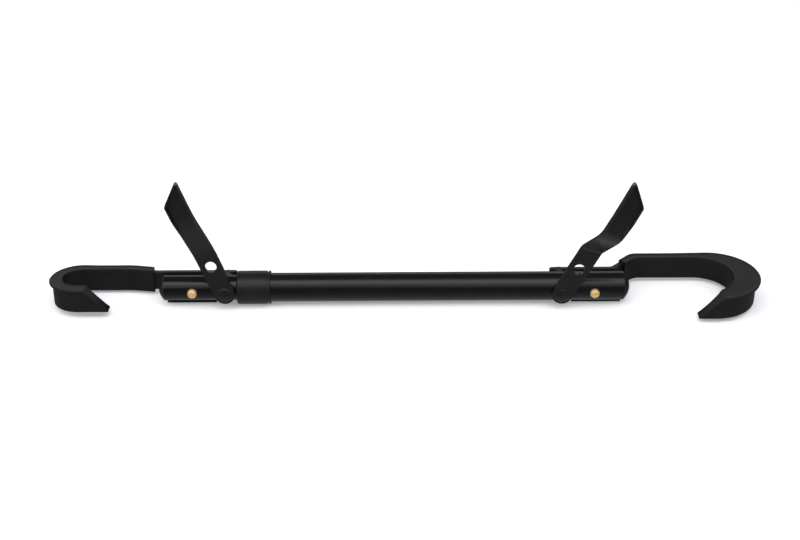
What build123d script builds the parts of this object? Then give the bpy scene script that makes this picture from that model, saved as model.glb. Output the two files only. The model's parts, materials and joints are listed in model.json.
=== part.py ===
from build123d import *
import os
from dataclasses import dataclass

# Telescoping bar with a rubber-covered hook at each end, and a swinging gate lever that closes each hook.
# Millimetres. X runs along the bar, Y points from the levers to the hooks' backs, Z is up.
# The origin is on the tube's axis, half way along the plain tube.
# The rest state is telescoped in, with both gates open.

# tubes
main_radius = 12.5
main_wall = 1.2
main_left = -156.0
main_right = 165.2
inner_radius = 11.0
inner_wall = 1.5
inner_left = -231.6
inner_right = 40.0
running_gap = 0.05          # radial clearance of a plastic guide on a steel tube

# collar on the open end of the main tube
collar_left = -168.5
collar_right = -139.5
collar_radius = 14.5
collar_groove = 1.6
collar_groove_depth = 0.8
collar_flange = 1.4
collar_mouth = 0.6          # bevel at the mouth of the guide bore
collar_round = 1.8          # on the rim at the open end
collar_edge = 0.5           # on the other rims

# guide at the inner end of the inner tube
bush_length = 26.0
bush_journal = 7.5
plug_depth = 14.0
plug_shoulder = 1.5
plug_step = 0.4             # the plug's shoulder is this much smaller than the inner tube
plug_chamfer = 0.8
plug_head = 3.0
plug_head_step = 0.6
plug_head_chamfer = 1.0

# end plugs
end_rim = 0.3
end_step = 0.4              # the plug's head is this much smaller than the tube
end_dome = 3.6
end_spigot = 9.0
end_spigot_wall = 1.8

# hook strip: flat steel bar that lies behind the tube and becomes the hook
strip_front = 14.2          # distance from the tube's axis to the strip's near face
strip_thick = 4.0
strip_half = 8.2
strip_corner = 2.0
strip_middle = strip_front + strip_thick / 2

# rubber covers
cover_half = 10.5
tip_lean = 10.0             # the tip's slanted cut runs this far either side of its middle
core_setback = 3.0          # the strip ends this far inside the slanted cut
lip_height = 1.8
lip_reach = 1.1

# saddle: angle that seats the strip on the round tube
saddle_length = 42.7
saddle_leg = 1.8
saddle_reach = -3.2
saddle_top = 7.0

# pivots and levers
washer_thick = 1.0
washer_radius = 8.0
rear_washer_radius = 8.0
rear_washer_thick = 1.1
play = 0.1
rivet_radius = 4.0
rivet_head_radius = 6.5
rivet_head_height = 2.3
rivet_head_rim = 0.5
rivet_tail_radius = 6.0
rivet_tail_height = 1.6
rivet_tail_chamfer = 0.8
lever_thick = 3.0
lever_boss = 8.5
lever_half = 9.2
lever_flare = 25.0          # the plate reaches its full width this far from the pivot
lever_hole = 5.0
lever_hole_bevel = 0.6
rim_wall = 2.0
rim_height = 4.0
rim_run = 22.0              # over which the rims rise to their height
pocket_lead = 12.0          # the tray's floor is cut from this far before the rims
pocket_corner = 1.5
lever_corner = 2.0
plate_bend = 5.0

# snap buttons
button_reach = 28.5         # from the pivot to the button, and to the lever's hole
button_radius = 4.0
button_height = 4.3
button_dimple = 0.9
button_dome = 2.6
button_flange = 4.8
bezel_radius = 4.7
bezel_bore = 4.15
bezel_proud = 0.4
button_seat = 0.25          # between the flange's rim and the tube's bore
leaf_thick = 0.6
leaf_half = 3.0
leaf_reach = 14.5           # from the button's axis to the leaf's fold
leaf_rise = 4.5
leaf_tail = 2.0
leaf_bend = 1.5
leaf_gap = 0.3              # between the leaf and the tube's far wall

# blind rivets that fix strip and saddle to the tube
blind_radius = 2.4
blind_head = 4.5
blind_head_height = 1.3
blind_head_rim = 1.0
blind_head_chamfer = 0.8
blind_bulb = 3.6
blind_bulb_length = 3.0
blind_bulb_chamfer = 1.0
blind_bulb_gap = 0.9        # between the bulb and the tube's bore


@dataclass
class End:
    """One end of the bar. Plan sizes are measured outward from the tube's middle, so both ends share one
    set of drawings, and side turns them into X."""

    side: int               # +1 for the right end, -1 for the left end
    turn: float             # degrees this end is swivelled about the bar
    tube_radius: float
    tube_wall: float
    tube_end: float
    pivot: float
    open_angle: float       # degrees from shut to the rest state
    jog_start: float
    jog_end: float
    tray_face: float        # Y of the lever's outer face beyond its jog
    rim_start: float
    blind_rivet: float
    saddle_start: float
    strip_path: list        # plan corners of the strip's middle line, up to the hook's bend
    bend_centre: tuple      # plan centre of the strip's bend
    bend_radius: float
    cover_start: list       # plan corners where the cover begins: near side, far side
    cover_knee: list        # plan corners where its back leg begins: near side, far side
    bore_centre: tuple
    bore_radius: float
    back_centre: tuple      # plan centre of the bend's outer face
    lip_shift: float        # the lip's centre lies this far outward of it
    back_radius: float
    tip_middle: float       # where the slanted cut crosses the strip's middle height
    gate_gap: float         # between the closed lever's end and the slanted cut

    def frame(self):
        return Location((0, 0, 0), (self.turn, 0, 0))

    def level(self, z=0.0):
        """Plane parallel to the bar's plan view."""
        return Plane(self.frame() * Plane.XY.offset(z).location)

    def facing(self, y=0.0):
        """Plane that faces the lever side, at height y behind the tube's axis."""
        return Plane(self.frame() * Plane.XZ.offset(-y).location)

    def across(self, x=0.0):
        return Plane(self.frame() * Plane.YZ.offset(x).location)

    def at(self, point):
        """Plan point, with its first value measured outward."""
        return (self.side * point[0], point[1])

    def swung(self, plane):
        """The same plane, carried round with the open lever."""
        angle = -self.side * self.open_angle
        about_pivot = Location((self.side * self.pivot, 0, 0), (0, angle, 0))
        return Plane(self.frame() * about_pivot * plane.location)


right = End(
    side=1,
    turn=0.0,
    tube_radius=main_radius,
    tube_wall=main_wall,
    tube_end=main_right,
    pivot=111.1,
    open_angle=62.5,
    jog_start=49.0,
    jog_end=74.0,
    tray_face=-36.0,
    rim_start=80.0,
    blind_rivet=126.0,
    saddle_start=121.0,
    strip_path=[(111.1, strip_middle), (158.0, strip_middle), (175.7, 33.9), (232.0, 33.9)],
    bend_centre=(232.0, 0.0),
    bend_radius=33.9,
    cover_start=[(170.5, 20.7), (164.7, 26.5)],
    cover_knee=[(179.4, 29.6), (176.3, 38.1)],
    bore_centre=(230.7, 0.3),
    bore_radius=29.3,
    back_centre=(240.3, -0.8),
    lip_shift=3.8,
    back_radius=38.9,
    tip_middle=235.5,
    gate_gap=5.0,
)
left = End(
    side=-1,
    turn=-4.5,
    tube_radius=inner_radius,
    tube_wall=inner_wall,
    tube_end=-inner_left,
    pivot=178.0,
    open_angle=68.6,
    jog_start=42.0,
    jog_end=75.0,
    tray_face=-24.0,
    rim_start=66.0,
    blind_rivet=191.5,
    saddle_start=186.9,
    strip_path=[(178.0, strip_middle), (241.0, strip_middle), (262.6, 20.4), (303.8, 20.4)],
    bend_centre=(303.8, 0.0),
    bend_radius=20.4,
    cover_start=[(243.0, 12.4), (243.0, 21.0)],
    cover_knee=[(262.0, 16.0), (262.0, 24.8)],
    bore_centre=(303.8, 0.75),
    bore_radius=15.25,
    back_centre=(302.2, -0.6),
    lip_shift=2.7,
    back_radius=25.4,
    tip_middle=287.2,
    gate_gap=3.6,
)


def ring(plane, outer, inner, length):
    """Plain ring that grows from the plane along its normal."""
    with BuildPart() as part:
        with BuildSketch(plane):
            Circle(outer)
            Circle(inner, mode=Mode.SUBTRACT)
        extrude(amount=length)
    return part


def tube(end, start, stop, radius, wall):
    """Tube along the bar, drilled for this end's pivot, button and blind rivet."""
    with BuildPart() as part:
        with BuildSketch(end.across(start)):
            Circle(radius)
            Circle(radius - wall, mode=Mode.SUBTRACT)
        extrude(amount=stop - start)
        with BuildSketch(end.facing(radius + 1)):
            with Locations(end.at((end.pivot, 0))):
                Circle(rivet_radius)
        extrude(amount=2 * radius + 2, mode=Mode.SUBTRACT)
        with BuildSketch(end.facing()):
            with Locations(end.at((end.pivot + button_reach, 0))):
                Circle(bezel_radius)
        extrude(amount=radius + 1, mode=Mode.SUBTRACT)
        with BuildSketch(end.facing()):
            with Locations(end.at((end.blind_rivet, 0))):
                Circle(blind_radius)
        extrude(amount=-radius - 1, mode=Mode.SUBTRACT)
    return part


def cap_height(radius, height, reach):
    """Height of a spherical cap at this reach from its axis, from the cap's own radius and height."""
    sphere = (radius**2 + height**2) / (2 * height)
    return height - sphere + (sphere**2 - reach**2) ** 0.5


def end_plug(end):
    """Domed plastic plug with a hollow spigot inside the tube's end."""
    inside = end.tube_radius - end.tube_wall
    rim = end.tube_end + end_rim
    head_radius = end.tube_radius - end_step
    profile = [
        (rim + end_dome, 0),
        (end.tube_end, 0),
        (end.tube_end, inside - end_spigot_wall),
        (end.tube_end - end_spigot, inside - end_spigot_wall),
        (end.tube_end - end_spigot, inside),
        (end.tube_end, inside),
        (end.tube_end, head_radius),
        (rim, head_radius),
    ]
    half_out = head_radius / 2
    shoulder = (rim + cap_height(head_radius, end_dome, half_out), half_out)
    with BuildPart() as part:
        with BuildSketch(end.level()):
            with BuildLine():
                Polyline([end.at(p) for p in profile])
                ThreePointArc(end.at(profile[-1]), end.at(shoulder), end.at(profile[0]))
            make_face()
        revolve(axis=Axis((0, 0, 0), (1, 0, 0)))
    return part


def strip_end(end):
    """The strip's plan line past its last straight corner: the bend, then a short leg back to the tip."""
    centre = end.bend_centre
    first = (centre[0], centre[1] + end.bend_radius)
    crown = (centre[0] + end.bend_radius, centre[1])
    last = (centre[0], centre[1] - end.bend_radius)
    stop = (end.tip_middle - 2 * tip_lean, last[1])
    return first, crown, last, stop


def tip_wedge(end, setback):
    """Everything past the slanted tip, as a sketch seen from the lever side."""
    middle = end.tip_middle + setback
    reach = 2.0 * tip_lean
    slope = tip_lean / cover_half
    height = reach / slope
    return [
        end.at((middle + reach, height)),
        end.at((middle - reach, -height)),
        end.at((middle - 4 * reach, -height)),
        end.at((middle - 4 * reach, height)),
    ]


def hook_core(end):
    """Flat steel bar: straight behind the tube, stepped outward, then bent round the hook."""
    first, crown, last, stop = strip_end(end)
    with BuildPart() as part:
        with BuildSketch(end.level()):
            with BuildLine():
                FilletPolyline([end.at(p) for p in end.strip_path], radius=plate_bend)
            trace(line_width=strip_thick)
            with BuildLine():
                ThreePointArc(end.at(first), end.at(crown), end.at(last))
            trace(line_width=strip_thick)
            with BuildLine():
                Line(end.at(last), end.at(stop))
            trace(line_width=strip_thick)
        extrude(amount=strip_half, both=True)
        with BuildSketch(end.facing(0)):
            Polygon(*tip_wedge(end, core_setback), align=None)
        extrude(amount=3 * end.bend_radius, mode=Mode.SUBTRACT)
        with BuildSketch(end.facing(strip_front + strip_thick)):
            with Locations(end.at((end.pivot, 0))):
                RectangleRounded(2 * strip_half, 2 * strip_half, strip_corner)
        extrude(amount=strip_thick)
        with BuildSketch(end.facing(strip_front + strip_thick + 1)):
            with Locations(end.at((end.pivot, 0))):
                Circle(rivet_radius)
            with Locations(end.at((end.blind_rivet, 0))):
                Circle(blind_radius)
        extrude(amount=strip_thick + 2, mode=Mode.SUBTRACT)
    return part


def cover_outline(end, grow=0.0, shift=0.0):
    """Plan outline of the rubber cover. Its bend can grow and shift on the outer side, for the rim's lip."""
    near_start, far_start = end.cover_start
    near_knee, far_knee = end.cover_knee
    bore, back = end.bore_centre, end.back_centre
    back_radius = end.back_radius + grow
    back_x = back[0] + shift
    leg_end = end.tip_middle - 2 * tip_lean
    bore_top = (bore[0], bore[1] + end.bore_radius)
    bore_crown = (bore[0] + end.bore_radius, bore[1])
    bore_foot = (bore[0], bore[1] - end.bore_radius)
    back_top = (back_x, back[1] + end.back_radius)
    back_crown = (back_x + end.back_radius, back[1])
    back_foot = (back_x, back[1] - back_radius)
    with BuildLine() as line:
        Polyline([end.at(p) for p in (bore_top, near_knee, near_start, far_start, far_knee, back_top)])
        ThreePointArc(end.at(back_top), end.at(back_crown), end.at(back_foot))
        leg = [back_foot, (leg_end, back_foot[1]), (leg_end, bore_foot[1]), bore_foot]
        Polyline([end.at(p) for p in leg])
        ThreePointArc(end.at(bore_foot), end.at(bore_crown), end.at(bore_top))
    return line


def hook_cover(end, core):
    """Moulded rubber over the strip, with a lip round the bend's upper rim."""
    with BuildPart() as part:
        with BuildSketch(end.level()):
            add(cover_outline(end).line)
            make_face()
        extrude(amount=cover_half, both=True)
        with BuildSketch(end.level(cover_half - lip_height)):
            add(cover_outline(end, lip_reach, end.lip_shift).line)
            make_face()
        extrude(amount=lip_height)
        with BuildSketch(end.facing(0)):
            Polygon(*tip_wedge(end, 0.0), align=None)
        extrude(amount=3 * end.back_radius, mode=Mode.SUBTRACT)
        add(core.part, mode=Mode.SUBTRACT)
    return part


def saddle(end):
    """Angle between strip and tube: a hollow-ground web behind the tube, and a leg under it."""
    foot = -end.tube_radius - saddle_leg
    with BuildPart() as part:
        with BuildSketch(end.across(end.side * end.saddle_start)):
            with BuildLine():
                web = [(saddle_reach, foot), (strip_front, foot), (strip_front, saddle_top)]
                nose = [(0, saddle_top), (0, -end.tube_radius), (saddle_reach, -end.tube_radius)]
                Polyline(web + nose, close=True)
            make_face()
            Circle(end.tube_radius, mode=Mode.SUBTRACT)
        extrude(amount=end.side * saddle_length)
        with BuildSketch(end.facing(strip_front + 1)):
            with Locations(end.at((end.blind_rivet, 0))):
                Circle(blind_radius)
        extrude(amount=strip_front, mode=Mode.SUBTRACT)
    return part


def front_face(end):
    """Y of the tube's surface on the lever side."""
    return -end.tube_radius


def pivot_rivet(end):
    """One shank from the lever's face through tube, spacer and strip, with a domed head and a flat tail."""
    head_seat = front_face(end) - washer_thick - lever_thick - 2 * play
    tail_seat = strip_front + strip_thick + rear_washer_thick
    head_top = head_seat - rivet_head_height
    tail_top = tail_seat + rivet_tail_height
    with BuildPart() as part:
        with BuildSketch(end.level()):
            with BuildLine():
                x = end.pivot
                corners = [
                    (x, head_top),
                    (x, tail_top),
                    (x + rivet_tail_radius - rivet_tail_chamfer, tail_top),
                    (x + rivet_tail_radius, tail_top - rivet_tail_chamfer),
                    (x + rivet_tail_radius, tail_seat),
                    (x + rivet_radius, tail_seat),
                    (x + rivet_radius, head_seat),
                    (x + rivet_head_radius, head_seat),
                    (x + rivet_head_radius, head_seat - rivet_head_rim),
                ]
                Polyline([end.at(p) for p in corners])
                half_out = rivet_head_radius / 2
                cap = cap_height(rivet_head_radius, rivet_head_height - rivet_head_rim, half_out)
                shoulder = (x + half_out, head_seat - rivet_head_rim - cap)
                ThreePointArc(end.at(corners[-1]), end.at(shoulder), end.at(corners[0]))
            make_face()
        pivot_axis = end.frame() * Location((end.side * end.pivot, 0, 0))
        revolve(axis=Axis(pivot_axis.position, end.facing().z_dir))
    return part


def blind_rivet(end):
    """Blind rivet from the strip's back into the tube, with its bulb inside."""
    seat = strip_front + strip_thick
    inside = end.tube_radius - end.tube_wall - blind_bulb_gap
    bulb_end = inside - blind_bulb_length
    with BuildPart() as part:
        with BuildSketch(end.level()):
            with BuildLine():
                x = end.blind_rivet
                corners = [
                    (x, bulb_end),
                    (x + blind_bulb - blind_bulb_chamfer, bulb_end),
                    (x + blind_bulb, bulb_end + blind_bulb_chamfer),
                    (x + blind_bulb, inside),
                    (x + blind_radius, inside),
                    (x + blind_radius, seat),
                    (x + blind_head, seat),
                    (x + blind_head - blind_head_chamfer, seat + blind_head_rim),
                    (x, seat + blind_head_height),
                ]
                Polyline([end.at(p) for p in corners], close=True)
            make_face()
        rivet_axis = end.frame() * Location((end.side * end.blind_rivet, 0, 0))
        revolve(axis=Axis(rivet_axis.position, end.facing().z_dir))
    return part


def lever(end):
    """Stamped steel gate: round boss, straight plate with the latch hole, an outward jog, then a shallow
    tray with turned-out rims and a slanted end. Drawn shut, on planes that are swung open."""
    inner_face = front_face(end) - washer_thick - play
    middle = inner_face - lever_thick / 2
    tray_middle = end.tray_face + lever_thick / 2
    rim_top = end.tray_face - rim_height
    half_lean = lever_half * tip_lean / cover_half
    end_middle = end.tip_middle - end.gate_gap - end.pivot
    apex = end_middle + half_lean
    toe = end_middle - half_lean
    plan = end.swung(Plane.XY)
    side_view = end.swung(Plane.XZ.offset(-rim_top))
    with BuildPart() as part:
        with BuildSketch(plan):
            with BuildLine():
                path = [
                    (-lever_boss, middle),
                    (end.jog_start, middle),
                    (end.jog_end, tray_middle),
                    (apex, tray_middle),
                ]
                FilletPolyline([end.at(p) for p in path], radius=plate_bend)
            trace(line_width=lever_thick)
            with BuildLine():
                wall = [
                    (end.rim_start, end.tray_face),
                    (end.rim_start + rim_run, rim_top),
                    (apex, rim_top),
                    (apex, end.tray_face + 1),
                    (end.rim_start, end.tray_face + 1),
                ]
                Polyline([end.at(p) for p in wall], close=True)
            make_face()
        extrude(amount=lever_half, both=True)
        inner_half = lever_half - rim_wall
        inner_lean = inner_half * tip_lean / cover_half
        pocket_end = end_middle - 1.4 * rim_wall
        with BuildSketch(side_view) as floor:
            with BuildLine():
                pocket = [
                    (end.rim_start - pocket_lead, inner_half),
                    (pocket_end + inner_lean, inner_half),
                    (pocket_end - inner_lean, -inner_half),
                    (end.rim_start - pocket_lead, -inner_half),
                ]
                Polyline([end.at(p) for p in pocket], close=True)
            make_face()
            fillet(corners_beyond(floor, end, end.jog_end), radius=pocket_corner)
        extrude(amount=-rim_height, mode=Mode.SUBTRACT)
        with BuildSketch(side_view) as outline:
            Circle(lever_boss)
            with BuildLine():
                blade = [
                    (0, lever_boss),
                    (lever_flare, lever_half),
                    (apex, lever_half),
                    (toe, -lever_half),
                    (lever_flare, -lever_half),
                    (0, -lever_boss),
                ]
                Polyline([end.at(p) for p in blade], close=True)
            make_face()
            fillet(corners_beyond(outline, end, end.jog_end), radius=lever_corner)
        extrude(amount=2 * rim_top, mode=Mode.INTERSECT)
        with BuildSketch(side_view):
            Circle(rivet_radius + running_gap)
            with Locations(end.at((button_reach, 0))):
                Circle(lever_hole)
        extrude(amount=2 * rim_top, mode=Mode.SUBTRACT)
        outer_face = inner_face - lever_thick
        with BuildSketch(end.swung(Plane.XZ.offset(-outer_face))):
            with Locations(end.at((button_reach, 0))):
                Circle(lever_hole + lever_hole_bevel)
        extrude(amount=-lever_hole_bevel, taper=45, mode=Mode.SUBTRACT)
    return part


def corners_beyond(sketch, end, reach):
    """Corners of a lever's sketch that lie further from the pivot than reach."""
    return [v for v in sketch.vertices() if end.side * v.X > reach]


def snap_button(end):
    """Sprung locking button: a hollow-headed button and its folded leaf, made as one piece of spring bronze.
    The leaf folds away from the pivot and bears on the tube's far wall."""
    tip = front_face(end) - button_height
    inside = end.tube_radius - end.tube_wall
    seat = button_seat - (inside**2 - button_flange**2) ** 0.5
    far = (inside**2 - leaf_half**2) ** 0.5 - leaf_gap - leaf_thick / 2
    pad = seat + leaf_thick / 2
    x = end.pivot + button_reach
    with BuildPart() as part:
        with BuildSketch(end.level()):
            with BuildLine():
                leaf = [
                    (x - button_radius, pad),
                    (x + button_radius, pad),
                    (x + leaf_reach, far - leaf_rise),
                    (x + leaf_reach, far),
                    (x - leaf_tail, far),
                ]
                FilletPolyline([end.at(p) for p in leaf], radius=leaf_bend)
            trace(line_width=leaf_thick)
        extrude(amount=leaf_half, both=True)
        with BuildSketch(end.level()):
            with BuildLine():
                head = [
                    (x, tip + button_dimple / 2),
                    (x, seat + leaf_thick),
                    (x + button_flange, seat + leaf_thick),
                    (x + button_flange, seat),
                    (x + button_radius, seat),
                    (x + button_radius, tip + button_dome),
                ]
                Polyline([end.at(p) for p in head])
                crown = (x + button_dimple, tip)
                shoulder = (x + 0.75 * button_radius, tip + 0.26 * button_dome)
                ThreePointArc(end.at(head[-1]), end.at(shoulder), end.at(crown))
                Line(end.at(crown), end.at(head[0]))
            make_face()
        button_axis = end.frame() * Location((end.side * x, 0, 0))
        revolve(axis=Axis(button_axis.position, end.facing().z_dir))
    return part


def button_bezel(end):
    """Plastic sleeve that lines the button's hole in the tube."""
    inside = end.tube_radius - end.tube_wall
    back = -((inside**2 - bezel_radius**2) ** 0.5)
    proud = front_face(end) - bezel_proud
    with BuildPart() as part:
        with BuildSketch(end.facing(back)):
            with Locations(end.at((end.pivot + button_reach, 0))):
                Circle(bezel_radius)
                Circle(bezel_bore, mode=Mode.SUBTRACT)
        extrude(amount=back - proud)
    return part


def pivot_ring(end, back_y, outer, length):
    """Flat washer on the pivot rivet, from back_y toward the levers."""
    with BuildPart() as part:
        with BuildSketch(end.facing(back_y)):
            with Locations(end.at((end.pivot, 0))):
                Circle(outer)
                Circle(rivet_radius, mode=Mode.SUBTRACT)
        extrude(amount=length)
    return part


def spacer(end):
    """Washer that fills the gap between the round tube and the strip, hollowed to the tube."""
    with BuildPart() as part:
        with BuildSketch(end.facing(strip_front)):
            with Locations(end.at((end.pivot, 0))):
                Circle(washer_radius)
                Circle(rivet_radius, mode=Mode.SUBTRACT)
        extrude(amount=strip_front)
        with BuildSketch(end.across()):
            Circle(end.tube_radius)
        extrude(amount=2 * end.side * end.pivot, mode=Mode.SUBTRACT)
    return part


def hook_end(end, name):
    """Every fixed and moving piece at one end of the bar, under its node name."""
    core = hook_core(end)
    front = front_face(end)
    pieces = {
        "hook_core": core,
        "hook_cover": hook_cover(end, core),
        "saddle": saddle(end),
        "end_plug": end_plug(end),
        "pivot_rivet": pivot_rivet(end),
        "pivot_spacer": spacer(end),
        "pivot_washer": pivot_ring(end, front, washer_radius, washer_thick),
        "rear_washer": pivot_ring(
            end, strip_front + strip_thick + rear_washer_thick, rear_washer_radius, rear_washer_thick
        ),
        "blind_rivet": blind_rivet(end),
        "button_bezel": button_bezel(end),
        "snap_button": snap_button(end),
        "gate_lever": lever(end),
    }
    return {f"{name}_{piece}": part for piece, part in pieces.items()}


def tube_collar():
    """Plastic collar: fixed over the main tube's end, with a guide bore for the inner tube."""
    guide = inner_radius + running_gap
    groove_right = collar_right - collar_flange
    groove_left = groove_right - collar_groove
    groove_floor = collar_radius - collar_groove_depth
    with BuildPart() as part:
        with BuildSketch(Plane.XY) as section:
            with BuildLine():
                Polyline(
                    (collar_left, guide + collar_mouth),
                    (collar_left, collar_radius),
                    (groove_left, collar_radius),
                    (groove_left, groove_floor),
                    (groove_right, groove_floor),
                    (groove_right, collar_radius),
                    (collar_right, collar_radius),
                    (collar_right, main_radius),
                    (main_left, main_radius),
                    (main_left, guide),
                    (collar_left + collar_mouth, guide),
                    close=True,
                )
            make_face()
            rim = section.vertices().group_by(Axis.Y)[-1].sort_by(Axis.X)
            fillet(rim[0], radius=collar_round)
            fillet(section.vertices().group_by(Axis.Y)[-1].sort_by(Axis.X)[1:], radius=collar_edge)
        revolve(axis=Axis.X)
    return part


def inner_plug():
    """Plug in the inner tube's hidden end, with the journal that the guide bush turns on."""
    bore = inner_radius - inner_wall
    journal_start = inner_right + plug_shoulder
    journal_end = journal_start + bush_length + 2 * play
    head_radius = inner_radius - plug_head_step
    with BuildPart() as part:
        with BuildSketch(Plane.XY):
            with BuildLine():
                Polyline(
                    (inner_right - plug_depth, 0),
                    (inner_right - plug_depth, bore - plug_chamfer),
                    (inner_right - plug_depth + plug_chamfer, bore),
                    (inner_right, bore),
                    (inner_right, inner_radius - plug_step),
                    (journal_start, inner_radius - plug_step),
                    (journal_start, bush_journal),
                    (journal_end, bush_journal),
                    (journal_end, head_radius),
                    (journal_end + plug_head - plug_head_chamfer, head_radius),
                    (journal_end + plug_head, head_radius - plug_head_chamfer),
                    (journal_end + plug_head, 0),
                    close=True,
                )
            make_face()
        revolve(axis=Axis.X)
    return part


def guide_bush():
    """Plastic bush that slides in the main tube and carries the inner tube."""
    start = inner_right + plug_shoulder + play
    bore = main_radius - main_wall
    return ring(Plane.YZ.offset(start), bore - running_gap, bush_journal + running_gap, bush_length)


pieces = {
    "main_tube": tube(right, main_left, main_right, main_radius, main_wall),
    "tube_collar": tube_collar(),
    "inner_tube": tube(left, inner_left, inner_right, inner_radius, inner_wall),
    "inner_plug": inner_plug(),
    "guide_bush": guide_bush(),
}
pieces.update(hook_end(right, "right"))
pieces.update(hook_end(left, "left"))

os.makedirs("parts", exist_ok=True)
for name, piece in pieces.items():
    piece.part.label = name
    export_step(piece.part, f"parts/{name}.step")
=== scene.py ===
# Visual model of a telescoping bicycle frame adapter bar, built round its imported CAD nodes.
# Sizes are in millimetres unless a name or comment says otherwise. Each end of the bar is drawn with X
# measured outward from the bar's middle, then mirrored or turned into its place in the shared frame.

import json
import math
from dataclasses import dataclass

import bmesh
import bpy
from mathutils import Matrix, Vector

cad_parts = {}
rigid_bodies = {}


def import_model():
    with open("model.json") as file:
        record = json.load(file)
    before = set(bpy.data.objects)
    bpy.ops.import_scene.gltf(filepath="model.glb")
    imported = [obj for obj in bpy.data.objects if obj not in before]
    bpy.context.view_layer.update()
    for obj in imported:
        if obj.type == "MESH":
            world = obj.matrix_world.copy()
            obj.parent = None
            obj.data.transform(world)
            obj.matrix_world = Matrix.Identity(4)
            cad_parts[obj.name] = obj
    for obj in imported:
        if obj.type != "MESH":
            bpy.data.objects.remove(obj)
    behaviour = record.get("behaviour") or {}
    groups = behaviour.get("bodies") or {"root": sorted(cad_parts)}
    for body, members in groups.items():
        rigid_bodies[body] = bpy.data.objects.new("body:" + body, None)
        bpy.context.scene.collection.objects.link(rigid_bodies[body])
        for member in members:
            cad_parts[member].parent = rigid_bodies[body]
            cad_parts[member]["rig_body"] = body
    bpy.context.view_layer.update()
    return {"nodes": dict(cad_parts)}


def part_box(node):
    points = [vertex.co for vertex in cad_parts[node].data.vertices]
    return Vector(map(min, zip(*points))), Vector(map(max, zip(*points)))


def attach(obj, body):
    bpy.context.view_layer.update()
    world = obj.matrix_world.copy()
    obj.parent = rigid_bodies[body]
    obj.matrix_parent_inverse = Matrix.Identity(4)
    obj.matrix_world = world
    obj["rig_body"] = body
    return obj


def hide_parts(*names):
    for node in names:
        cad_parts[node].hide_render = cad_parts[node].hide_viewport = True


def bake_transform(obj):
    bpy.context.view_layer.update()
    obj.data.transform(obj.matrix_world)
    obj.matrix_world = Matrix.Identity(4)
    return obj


MM = 0.001

LEFT_TURN = -4.5            # the left end is turned this far about the bar
MAIN_RADIUS = 12.5
MAIN_WALL = 1.2
INNER_RADIUS = 11.0
INNER_WALL = 1.5

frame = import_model()
nodes = frame["nodes"]


# ---------------------------------------------------------------- shared helpers


def link_object(name, data):
    made = bpy.data.objects.new(name, data)
    bpy.context.scene.collection.objects.link(made)
    return made


def between(a, b, t):
    return (a[0] + (b[0] - a[0]) * t, a[1] + (b[1] - a[1]) * t)


def rounded_corner(a, corner, b, t):
    """Point on the curve that leaves a toward the corner and reaches b."""
    return between(between(a, corner, t), between(corner, b, t), t)


def smooth(t):
    t = min(1.0, max(0.0, t))
    return t * t * (3 - 2 * t)


def end_place(side, turn):
    """From an end's drawing in millimetres to its place on the bar in metres."""
    return Matrix.Rotation(math.radians(turn), 4, "X") @ Matrix.Diagonal((side * MM, MM, MM, 1))


def circle(radius, count, spot):
    """Ring of points round an axis. spot makes a point of its two distances from the axis."""
    angles = [2 * math.pi * i / count for i in range(count)]
    return [spot(radius * math.cos(angle), radius * math.sin(angle)) for angle in angles]


def add_rings(mesh, rings):
    """Skins rings of points into one closed body."""
    made = [[mesh.verts.new(point) for point in ring] for ring in rings]
    for a, b in zip(made, made[1:]):
        for i in range(len(a)):
            k = (i + 1) % len(a)
            mesh.faces.new((a[i], a[k], b[k], b[i]))
    mesh.faces.new(made[0])
    mesh.faces.new(list(reversed(made[-1])))


def placed_data(mesh, name, place):
    bmesh.ops.transform(mesh, matrix=place, verts=mesh.verts[:])
    bmesh.ops.recalc_face_normals(mesh, faces=mesh.faces[:])
    data = bpy.data.meshes.new(name)
    mesh.to_mesh(data)
    mesh.free()
    return data


def dress(data, finish_name):
    data.materials.clear()
    data.materials.append(FINISHES[finish_name])
    for face in data.polygons:
        face.use_smooth = True


# ---------------------------------------------------------------- camera

CAMERA_LENS = 63.0
CAMERA_ELEVATION = 30.0
CAMERA_ROLL = 0.33
CAMERA_DISTANCE = 1213.8 * MM
CAMERA_AIM = Vector((-27.66, 7.10, 12.31)) * MM


def make_camera():
    data = bpy.data.cameras.new("camera")
    data.lens = CAMERA_LENS
    camera = link_object("camera", data)
    tilt = Matrix.Rotation(math.radians(90 - CAMERA_ELEVATION), 4, "X")
    roll = Matrix.Rotation(math.radians(-CAMERA_ROLL), 4, "Z")
    away = tilt.to_3x3() @ Vector((0, 0, CAMERA_DISTANCE))
    camera.matrix_world = Matrix.Translation(CAMERA_AIM + away) @ tilt @ roll
    bpy.context.scene.camera = camera


make_camera()


# ---------------------------------------------------------------- floor and light, in metres and watts


@dataclass
class Softbox:
    name: str
    place: tuple
    target: tuple
    width: float
    height: float
    watts: float


SOFTBOXES = (
    Softbox("key_softbox", (0.0, -0.50, 1.15), (0, 0, 0), 2.6, 0.75, 10.0),
    Softbox("key_fill", (0.0, -0.98, 0.80), (0, 0, 0), 2.6, 0.44, 2.3),
    Softbox("back_panel", (0.0, 1.75, 0.60), (0, 0, 0.05), 3.2, 0.6, 4.7),
    Softbox("left_panel", (-1.9, -0.6, 0.9), (0, 0, 0), 0.9, 1.2, 6.0),
    Softbox("right_panel", (1.9, -0.6, 0.9), (0, 0, 0), 0.9, 1.2, 2.0),
)

FLOOR_SIZE = 7.0
PAPER_COLOUR = (0.88, 0.90, 0.93)
PAPER_ROUGHNESS = 0.9
PAPER_SPECULAR = 0.1
PAPER_GLOW = 0.25

BOUNCE_STRENGTH = 1.6
BOUNCE_SPREAD = 110.0
BOUNCE_TILT = (8.0, -6.0)

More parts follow.
